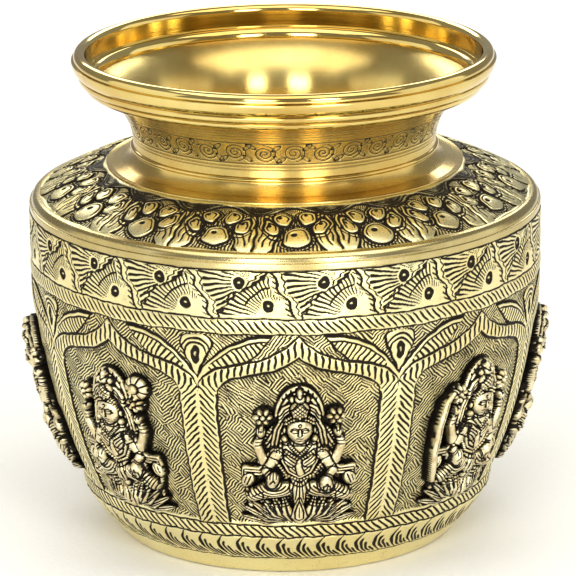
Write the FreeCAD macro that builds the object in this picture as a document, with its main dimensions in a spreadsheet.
# Brass kalash: a round water pot with an engraved belly, a sloping shoulder, a flared mouth with a
# moulded rim, and eight cast figures soldered round the belly.
# The pot stands on z = 0 and its axis is +Z. The first figure faces -Y.
import FreeCAD, Part
import math
import os
import Sketcher
from FreeCAD import Placement, Rotation, Vector

doc = FreeCAD.newDocument("Kalash")
sheet = doc.addObject("Spreadsheet::Sheet", "Sizes")


class Size:
    """A length with its value and the expression that gives it from the sheet's cells."""

    def __init__(self, value, text):
        self.value = value
        self.text = text

    def _join(self, other, sign, value):
        right = other.text if isinstance(other, Size) else repr(float(other))
        return Size(value, "(%s %s %s)" % (self.text, sign, right))

    def __add__(self, other):
        return self._join(other, "+", self.value + number(other))

    def __sub__(self, other):
        return self._join(other, "-", self.value - number(other))

    def __mul__(self, other):
        return self._join(other, "*", self.value * number(other))

    def __truediv__(self, other):
        return self._join(other, "/", self.value / number(other))

    def __neg__(self):
        return self * -1


def number(size):
    return size.value if isinstance(size, Size) else float(size)


def root(size):
    return Size(math.sqrt(size.value), "sqrt(%s)" % size.text)


rows = 0


def cell(name, value, note):
    """Puts a driving dimension in the sheet and returns it as a Size."""
    global rows
    rows += 1
    sheet.set("A%d" % rows, name)
    sheet.set("B%d" % rows, str(value))
    sheet.setAlias("B%d" % rows, name)
    sheet.set("C%d" % rows, note)
    return Size(float(value), "Sizes.%s" % name)


# Belly
bodyRadius = cell("bodyRadius", 60.0, "outside of the belly at its widest")
bellyWall = cell("bellyWall", 1.5, "thickness of the belly and its bottom")
bellyTop = cell("bellyTop", 78.0, "height of the belly's upper edge")
straightFoot = cell("straightFoot", 64.0, "height where the upright side starts to curve in")
bellyArc = cell("bellyArc", 118.0, "radius of the belly's side, seen in section")
borderTop = cell("borderTop", 14.3, "height where the side meets the upright border")
borderFoot = cell("borderFoot", 11.4, "height of the border's lower edge")
borderRadius = cell("borderRadius", 48.6, "outside of the border at its lower edge")
footArc = cell("footArc", 70.0, "radius of the sloping foot, seen in section")
baseRadius = cell("baseRadius", 40.2, "outside of the bottom")
baseRound = cell("baseRound", 1.0, "rounding between the foot and the bottom")

# Bottom disc
discHole = cell("discHole", 31.0, "radius of the hole that the disc closes")
discLap = cell("discLap", 3.0, "how far the disc's flange reaches past the hole")
discFlange = cell("discFlange", 1.2, "thickness of the disc's flange")
discRecess = cell("discRecess", 0.5, "how far the disc stays above the resting ring")

# Shoulder
domeRadius = cell("domeRadius", 70.0, "radius of the shoulder's arc, seen in section")
domeCentreOut = cell("domeCentreOut", 23.0, "distance of that arc's centre from the axis")
domeRise = cell("domeRise", 2.9, "height of the dome's outer edge above the belly's upper edge")
shoulderWall = cell("shoulderWall", 1.4, "thickness of the shoulder and its skirt")
skirtDrop = cell("skirtDrop", 4.0, "how far the skirt reaches down inside the belly")

# Band over the seam between belly and shoulder
bandLedge = cell("bandLedge", 2.3, "width of the band's rounded top")
bandFlat = cell("bandFlat", 1.6, "height of the band's upright face")
bandLip = cell("bandLip", 0.5, "height of the band's inner edge above the dome")

# Neck
neckRadius = cell("neckRadius", 35.5, "outside of the neck at its narrowest")
neckWall = cell("neckWall", 1.8, "thickness of the neck")
neckFlare = cell("neckFlare", 13.0, "radius of the flare, seen in section")
neckRise = cell("neckRise", 4.1, "height from the shoulder's hole to the start of the flare")
spigotDrop = cell("spigotDrop", 2.4, "how far the neck's spigot passes below the shoulder's skin")
footRadius = cell("footRadius", 41.8, "outside of the foot that lies on the shoulder")
footEdge = cell("footEdge", 0.5, "thickness of the foot's edge")
footCove = cell("footCove", 5.6, "radius of the cove above the foot")
flangeRadius = cell("flangeRadius", 45.0, "outside of the flared mouth inside the rim")
flangeLap = cell("flangeLap", 1.6, "width of the ledge that the rim sits on")

# Bead round the neck
beadRadius = cell("beadRadius", 0.6, "radius of the wire of the neck's bead")
beadBelow = cell("beadBelow", 1.4, "how far the bead lies below the start of the flare")

# Rim, from its top down: a lip, a moulded band, a ring and an edge that meets the neck
rimRadius = cell("rimRadius", 49.5, "outside of the rim")
lipRound = cell("lipRound", 1.5, "radius of the lip's round top")
lipHigh = cell("lipHigh", 2.0, "height of the lip")
lipStep = cell("lipStep", 0.5, "how far the lip is set in from the band")
bandHigh = cell("bandHigh", 3.2, "height of the moulded band")
bandIn = cell("bandIn", 1.4, "how far the band curves in at its lower edge")
ringHigh = cell("ringHigh", 2.1, "height of the ring under the band")
ringIn = cell("ringIn", 1.3, "how far the ring curves in at its lower edge")
edgeHigh = cell("edgeHigh", 1.6, "height of the edge under the ring")
innerStep = cell("innerStep", 2.3, "height of the bead inside the mouth")
innerLedge = cell("innerLedge", 0.8, "width of the ledge on that bead")

# Cast figures
figureCount = 8
figureGap = cell("figureGap", 1.3, "distance from the border up to a figure")
figureHeight = cell("figureHeight", 37.4, "height of a figure, measured up the axis")
figureHalf = cell("figureHalf", 12.8, "half the width of a figure's seat")
figureDepth = cell("figureDepth", 4.8, "how far a figure stands out of the belly")
solderGap = cell("solderGap", 0.35, "thickness of the solder behind a figure")
solderWide = cell("solderWide", 5.0, "width of the solder behind a figure")

doc.recompute()


# Heights and radii that several pieces share
skirtRadius = bodyRadius - bellyWall
skirtOut = skirtRadius - domeCentreOut
domeEdge = bellyTop + domeRise
domeCentreUp = domeEdge - root(domeRadius * domeRadius - skirtOut * skirtOut)


def domeHeight(radius, inside=0.0):
    """Height of the shoulder's outer surface, or of a surface inside it, at a radius."""
    out = radius - domeCentreOut
    skin = domeRadius - inside
    return domeCentreUp + root(skin * skin - out * out)


def bellyRadius(height, outside=0.0):
    """Radius of the belly's curved side, or of a surface outside it, at a height."""
    drop = straightFoot - height
    skin = bellyArc + outside
    return bodyRadius - bellyArc + root(skin * skin - drop * drop)


throatRadius = neckRadius - neckWall
neckSeat = domeHeight(neckRadius)
flareStart = neckSeat + neckRise
beadHeight = flareStart - beadBelow
spigotFoot = neckSeat - shoulderWall - spigotDrop


def flareHeight(radius, thickness=0.0):
    """Height of the flare's outer surface, or of a surface inside the neck, at a radius."""
    inward = neckRadius + neckFlare - radius
    skin = neckFlare + thickness
    return flareStart + root(skin * skin - inward * inward)


flangeInner = flangeRadius - flangeLap
flangeTop = flareHeight(flangeInner, neckWall)
flangeUnder = flareHeight(flangeRadius)
figureFoot = borderTop + figureGap
nought = Size(0.0, "0")


# A piece turned about the axis: its outline is a list of corners (radius, height). A corner may be
# followed by the radius of an arc to the next corner, positive where the arc turns to the left.
def arcCentre(start, end, radius):
    along = end - start
    reach = math.sqrt(radius * radius - along.Length**2 / 4)
    left = Vector(-along.y, along.x, 0).normalize()
    return (start + end) * 0.5 + left * math.copysign(reach, radius)


def pinPoint(sketch, geometry, end, size, across):
    kind = "DistanceX" if across else "DistanceY"
    if abs(size.value) < 1e-9:
        axis = -2 if across else -1
        sketch.addConstraint(Sketcher.Constraint("PointOnObject", geometry, end, axis))
        return
    index = sketch.addConstraint(Sketcher.Constraint(kind, -1, 1, geometry, end, size.value))
    sketch.setExpression("Constraints[%d]" % index, size.text)


def turned(name, outline):
    body = doc.addObject("PartDesign::Body", name)
    body.Label = name
    sketch = body.newObject("Sketcher::SketchObject", name + "_outline")
    plane = [f for f in body.Origin.OriginFeatures if f.Role == "XZ_Plane"][0]
    sketch.AttachmentSupport = [(plane, "")]
    sketch.MapMode = "FlatFace"
    ends = []
    for index, corner in enumerate(outline):
        following = outline[(index + 1) % len(outline)]
        start = Vector(corner[0].value, corner[1].value, 0)
        end = Vector(following[0].value, following[1].value, 0)
        if len(corner) == 2:
            line = sketch.addGeometry(Part.LineSegment(start, end))
            ends.append((line, 1, 2))
            continue
        bend, side = corner[2]
        centre = arcCentre(start, end, bend.value * side)
        first = math.atan2(start.y - centre.y, start.x - centre.x)
        last = math.atan2(end.y - centre.y, end.x - centre.x)
        circle = Part.Circle(centre, Vector(0, 0, 1), bend.value)
        if side > 0:
            arc = sketch.addGeometry(Part.ArcOfCircle(circle, first, last))
            ends.append((arc, 1, 2))
        else:
            arc = sketch.addGeometry(Part.ArcOfCircle(circle, last, first))
            ends.append((arc, 2, 1))
        rule = sketch.addConstraint(Sketcher.Constraint("Radius", arc, bend.value))
        sketch.setExpression("Constraints[%d]" % rule, bend.text)
    for index, (geometry, start, end) in enumerate(ends):
        previous, previousEnd = ends[index - 1][0], ends[index - 1][2]
        sketch.addConstraint(
            Sketcher.Constraint("Coincident", previous, previousEnd, geometry, start)
        )
        pinPoint(sketch, geometry, start, outline[index][0], True)
        pinPoint(sketch, geometry, start, outline[index][1], False)
    revolution = body.newObject("PartDesign::Revolution", name + "_turned")
    revolution.Profile = sketch
    revolution.ReferenceAxis = (sketch, ["V_Axis"])
    revolution.Angle = 360.0
    doc.recompute()
    return body


def roundEdges(body, radius, wanted):
    """Rounds the circular edges of a turned body that wanted picks by radius and height."""
    base = body.Tip
    names = []
    for index, edge in enumerate(base.Shape.Edges):
        curve = edge.Curve
        if isinstance(curve, Part.Circle) and wanted(curve.Radius, curve.Center.z):
            names.append("Edge%d" % (index + 1))
    fillet = body.newObject("PartDesign::Fillet", body.Name + "_round")
    fillet.Base = (base, names)
    fillet.setExpression("Radius", radius.text)
    doc.recompute()
    return body


def left(radius):
    return (radius, 1)


def right(radius):
    return (radius, -1)


def near(a, b):
    return abs(a - b) < 0.05


# The belly is a bowl: a sloping foot, a short upright border, a curved side and a straight top.
# Its bottom has a hole, which the disc closes.
def makeBelly():
    body = turned(
        "belly_bowl",
        [
            (discHole, nought),
            (baseRadius, nought, left(footArc)),
            (borderRadius, borderFoot),
            (bellyRadius(borderTop), borderTop, left(bellyArc)),
            (bodyRadius, straightFoot),
            (bodyRadius, bellyTop),
            (skirtRadius, bellyTop),
            (skirtRadius, straightFoot, right(bellyArc - bellyWall)),
            (bellyRadius(borderTop, -bellyWall), borderTop),
            (borderRadius - bellyWall, borderFoot, right(footArc)),
            (baseRadius - bellyWall * 0.5, bellyWall),
            (discHole, bellyWall),
        ],
    )
    return roundEdges(
        body, baseRound, lambda r, z: near(r, baseRadius.value) and near(z, 0)
    )


# The disc drops in from above: its flange lies on the bottom and its plug fills the hole.
def makeDisc():
    flange = discHole + discLap
    discTop = bellyWall + discFlange
    return turned(
        "base_disc",
        [
            (nought, discRecess),
            (discHole, discRecess),
            (discHole, bellyWall),
            (flange, bellyWall),
            (flange, discTop),
            (nought, discTop),
        ],
    )


# The shoulder is a domed ring. Its skirt fits inside the belly and its hole takes the neck.
def makeShoulder():
    skirtInner = skirtRadius - shoulderWall
    skirtFoot = bellyTop - skirtDrop
    return turned(
        "shoulder_dome",
        [
            (skirtInner, skirtFoot),
            (skirtRadius, skirtFoot),
            (skirtRadius, domeEdge, left(domeRadius)),
            (neckRadius, neckSeat),
            (neckRadius, domeHeight(neckRadius, shoulderWall), right(domeRadius - shoulderWall)),
            (skirtInner, domeHeight(skirtInner, shoulderWall)),
        ],
    )


# The band stands on the belly's edge and laps over the shoulder's corner. Its upper edge is round.
def makeBand():
    bandInner = bodyRadius - bandLedge
    return turned(
        "shoulder_band",
        [
            (skirtRadius, bellyTop),
            (bodyRadius, bellyTop),
            (bodyRadius, bellyTop + bandFlat, left(bandLedge * 1.3)),
            (bandInner, domeHeight(bandInner) + bandLip),
            (bandInner, domeHeight(bandInner), right(domeRadius)),
            (skirtRadius, domeEdge),
        ],
    )


# The neck has a spigot in the shoulder's hole, a foot on the shoulder and a flared mouth. A round
# groove above the foot holds the bead.
def makeNeck():
    footUnder = domeHeight(footRadius)
    return turned(
        "neck_collar",
        [
            (throatRadius, spigotFoot),
            (neckRadius, spigotFoot),
            (neckRadius, neckSeat, right(domeRadius)),
            (footRadius, footUnder),
            (footRadius, footUnder + footEdge, right(footCove)),
            (neckRadius, beadHeight - beadRadius * 1.4),
            (neckRadius, beadHeight - beadRadius, right(beadRadius)),
            (neckRadius - beadRadius, beadHeight, right(beadRadius)),
            (neckRadius, beadHeight + beadRadius),
            (neckRadius, flareStart, right(neckFlare)),
            (flangeRadius, flangeUnder),
            (flangeRadius, flangeTop),
            (flangeInner, flangeTop, left(neckFlare + neckWall)),
            (throatRadius, flareStart),
        ],
    )


# The bead is a wire ring, half sunk in the neck's groove.
def makeBead():
    bead = doc.addObject("Part::Torus", "neck_bead")
    bead.Label = "neck_bead"
    bead.setExpression("Radius1", neckRadius.text)
    bead.setExpression("Radius2", beadRadius.text)
    bead.setExpression("Placement.Base.z", beadHeight.text)
    return bead


# The rim sits on the ledge of the flared mouth. Inside it has an upright wall above a bead.
def makeRim():
    ringLow = flangeUnder + edgeHigh
    bandLow = ringLow + ringHigh
    lipLow = bandLow + bandHigh
    rimTop = lipLow + lipHigh
    bandFoot = rimRadius - bandIn
    ringFoot = bandFoot - ringIn
    bandBend = (bandHigh * bandHigh + bandIn * bandIn) / (bandIn * 2)
    lipOuter = rimRadius - lipStep
    wallRadius = lipOuter - lipRound * 2
    stepTop = flangeTop + innerStep
    return turned(
        "mouth_rim",
        [
            (flangeInner, flangeTop),
            (flangeRadius, flangeTop),
            (flangeRadius, flangeUnder, left(edgeHigh * 1.1)),
            (ringFoot, ringLow, left(ringHigh * 0.75)),
            (bandFoot, bandLow, left(bandBend)),
            (rimRadius, lipLow),
            (lipOuter, lipLow),
            (lipOuter, rimTop - lipRound, left(lipRound)),
            (lipOuter - lipRound, rimTop, left(lipRound)),
            (wallRadius, rimTop - lipRound),
            (wallRadius, stepTop),
            (wallRadius - innerLedge, stepTop, left(innerStep)),
        ],
    )


# What lies inside the belly's curved side, or inside a surface just outside it, as a solid. Figures
# are cut back to it, and the solder fills the gap behind them.
def makeCore(name, gap):
    widest = bodyRadius + gap
    return turned(
        name,
        [
            (nought, borderTop),
            (bellyRadius(borderTop, gap), borderTop, left(bellyArc + gap)),
            (widest, straightFoot),
            (widest, bellyTop),
            (nought, bellyTop),
        ],
    )


# A figure is laid out in twelfths of its height up the belly, in fifths of its half width across,
# and in fifths of its depth outwards.
stepUp = figureHeight / 12
stepAcross = figureHalf / 5
stepOut = figureDepth / 5


def turnAt(across, up):
    """The angle round the pot of a place across the figure, in radians."""
    return number(stepAcross * across / bellyRadius(figureFoot + stepUp * up))


def leanAt(up):
    """The belly's lean from upright at a height up the figure, in degrees."""
    drop = straightFoot - figureFoot - stepUp * up
    return math.degrees(math.asin(number(drop / bellyArc)))


def onBelly(across, up, out):
    """The point that lies across, up and out of the belly's side, in a figure's steps."""
    height = figureFoot + stepUp * up
    reach = number(bellyRadius(height) + stepOut * out)
    turn = turnAt(across, up)
    return Vector(reach * math.sin(turn), -reach * math.cos(turn), height.value)


def facingOut(across, up):
    """The rotation that points an upright primitive straight out of the belly's side."""
    turn = turnAt(across, up)
    lean = math.radians(leanAt(up))
    level = math.cos(lean)
    outward = Vector(level * math.sin(turn), -level * math.cos(turn), -math.sin(lean))
    return Rotation(Vector(0, 0, 1), outward)


def ball(name, place, radius):
    sphere = doc.addObject("Part::Sphere", name)
    sphere.setExpression("Radius", radius.text)
    sphere.Placement = Placement(onBelly(*place), facingOut(place[0], place[1]))
    return sphere


def boss(name, place, low, high, tall):
    """A short cone that stands straight out of the belly's side."""
    cone = doc.addObject("Part::Cone", name)
    cone.setExpression("Radius1", low.text)
    cone.setExpression("Radius2", high.text)
    cone.setExpression("Height", tall.text)
    cone.Placement = Placement(onBelly(*place), facingOut(place[0], place[1]))
    return cone


def limb(name, start, end, thick, thin):
    """A round tapering limb between two points."""
    first = onBelly(*start)
    run = onBelly(*end) - first
    cone = doc.addObject("Part::Cone", name)
    cone.setExpression("Radius1", thick.text)
    cone.setExpression("Radius2", thin.text)
    cone.Height = run.Length
    cone.Placement = Placement(first, Rotation(Vector(0, 0, 1), run))
    return cone


def leaningCone(name, up, out, low, high, tall):
    """A cone whose axis runs up the belly's side."""
    cone = doc.addObject("Part::Cone", name)
    cone.setExpression("Radius1", low.text)
    cone.setExpression("Radius2", high.text)
    cone.setExpression("Height", tall.text)
    cone.Placement = Placement(onBelly(0, up, out), Rotation(Vector(1, 0, 0), leanAt(up)))
    return cone


# What the raised hands hold: how far it reaches across and up, for four kinds of figure.
raisedTips = [(3.6, 8.9), (4.0, 9.4), (3.7, 8.5), (4.2, 9.0)]
seatTop = 1.7
torsoFoot = 0.8
torsoTop = 7.1
haloUp = 8.8


def makeSeatDisc(name):
    """The round seat: a short cone whose axis is so far inside that only its front stands out."""
    sink = figureHalf * 1.1
    seat = leaningCone(name, 0, 0, sink + stepOut * 3.2, sink + stepOut * 4.4, stepUp * seatTop)
    lean = Rotation(Vector(1, 0, 0), leanAt(0))
    seat.Placement.Base = onBelly(0, 0, 0) + lean.multVec(Vector(0, sink.value, 0))
    return seat


def makeFigure(index):
    name = "seated_figure_%d" % (index + 1)
    tipAcross, tipUp = raisedTips[index % len(raisedTips)]
    torsoTall = stepUp * (torsoTop - torsoFoot)
    pieces = [
        makeSeatDisc(name + "_seat"),
        boss(name + "_halo", (0, haloUp, -1), stepUp * 2.35, stepUp * 2.2, stepOut * 2.6),
        leaningCone(name + "_torso", torsoFoot, 1.6, stepUp * 1.15, stepUp * 1.25, torsoTall),
        ball(name + "_head", (0, 8.0, 2.9), stepUp * 0.9),
        leaningCone(name + "_crown", 8.4, 2.5, stepUp * 0.8, stepUp * 0.3, stepUp * 2.9),
    ]
    for side, hand in ((-1, "_left"), (1, "_right")):
        knee = (side * 3.6, 2.2, 1.2)
        elbow = (side * 2.9, 5.1, 0.9)
        tip = (side * tipAcross, tipUp, 0.8)
        flower = (side * tipAcross, tipUp, -1)
        pieces += [
            limb(name + hand + "_thigh", (0, 2.7, 1.9), knee, stepUp * 0.95, stepUp * 0.75),
            limb(name + hand + "_arm", (side * 1.0, 6.2, 1.6), elbow, stepUp * 0.45, stepUp * 0.4),
            limb(name + hand + "_raised", elbow, tip, stepUp * 0.42, stepUp * 0.3),
            boss(name + hand + "_flower", flower, stepUp * 0.7, stepUp * 0.5, stepOut * 3),
        ]
    whole = doc.addObject("Part::MultiFuse", name + "_whole")
    whole.Shapes = pieces
    figure = doc.addObject("Part::Cut", name)
    figure.Base = whole
    figure.Tool = figureBack
    figure.Label = name
    return spin(figure, index)


# The solder behind a figure is a strip that fills the gap between the figure and the belly.
def makeSolder(index):
    name = "figure_solder_%d" % (index + 1)
    strip = doc.addObject("Part::Box", name + "_strip")
    strip.setExpression("Length", solderWide.text)
    strip.setExpression("Height", (stepUp * 9).text)
    strip.setExpression("Width", bodyRadius.text)
    strip.setExpression("Placement.Base.x", (solderWide * -0.5).text)
    strip.setExpression("Placement.Base.y", (bodyRadius * -1.2).text)
    strip.setExpression("Placement.Base.z", (figureFoot + stepUp).text)
    filled = doc.addObject("Part::Common", name + "_filled")
    filled.Base = strip
    filled.Tool = figureBack
    solder = doc.addObject("Part::Cut", name)
    solder.Base = filled
    solder.Tool = bellyCore
    solder.Label = name
    return spin(solder, index)


def spin(piece, index):
    """Turns a finished piece about the pot's axis to its own place on the belly."""
    piece.Placement = Placement(Vector(), Rotation(Vector(0, 0, 1), index * 360.0 / figureCount))
    return piece


parts = [
    makeBelly(),
    makeDisc(),
    makeShoulder(),
    makeBand(),
    makeNeck(),
    makeBead(),
    makeRim(),
]
figureBack = makeCore("figure_back", solderGap)
bellyCore = makeCore("belly_core", nought)
for index in range(figureCount):
    parts.append(makeFigure(index))
    parts.append(makeSolder(index))
doc.recompute()

# Nothing is written unless every object and every piece is sound.
for item in doc.Objects:
    if "Invalid" in item.State or "Error" in item.State:
        raise RuntimeError("%s failed: %s" % (item.Name, item.State))
for piece in parts:
    if piece.Shape.isNull() or not piece.Shape.isValid():
        raise RuntimeError("%s has no sound shape" % piece.Label)
    if piece.Shape.Volume <= 0 or not piece.Shape.Solids:
        raise RuntimeError("%s is no solid" % piece.Label)

os.makedirs("parts", exist_ok=True)
for piece in parts:
    piece.Shape.exportStep("parts/%s.step" % piece.Label)
    print("%s: %d solid, %.0f mm3" % (piece.Label, len(piece.Shape.Solids), piece.Shape.Volume))
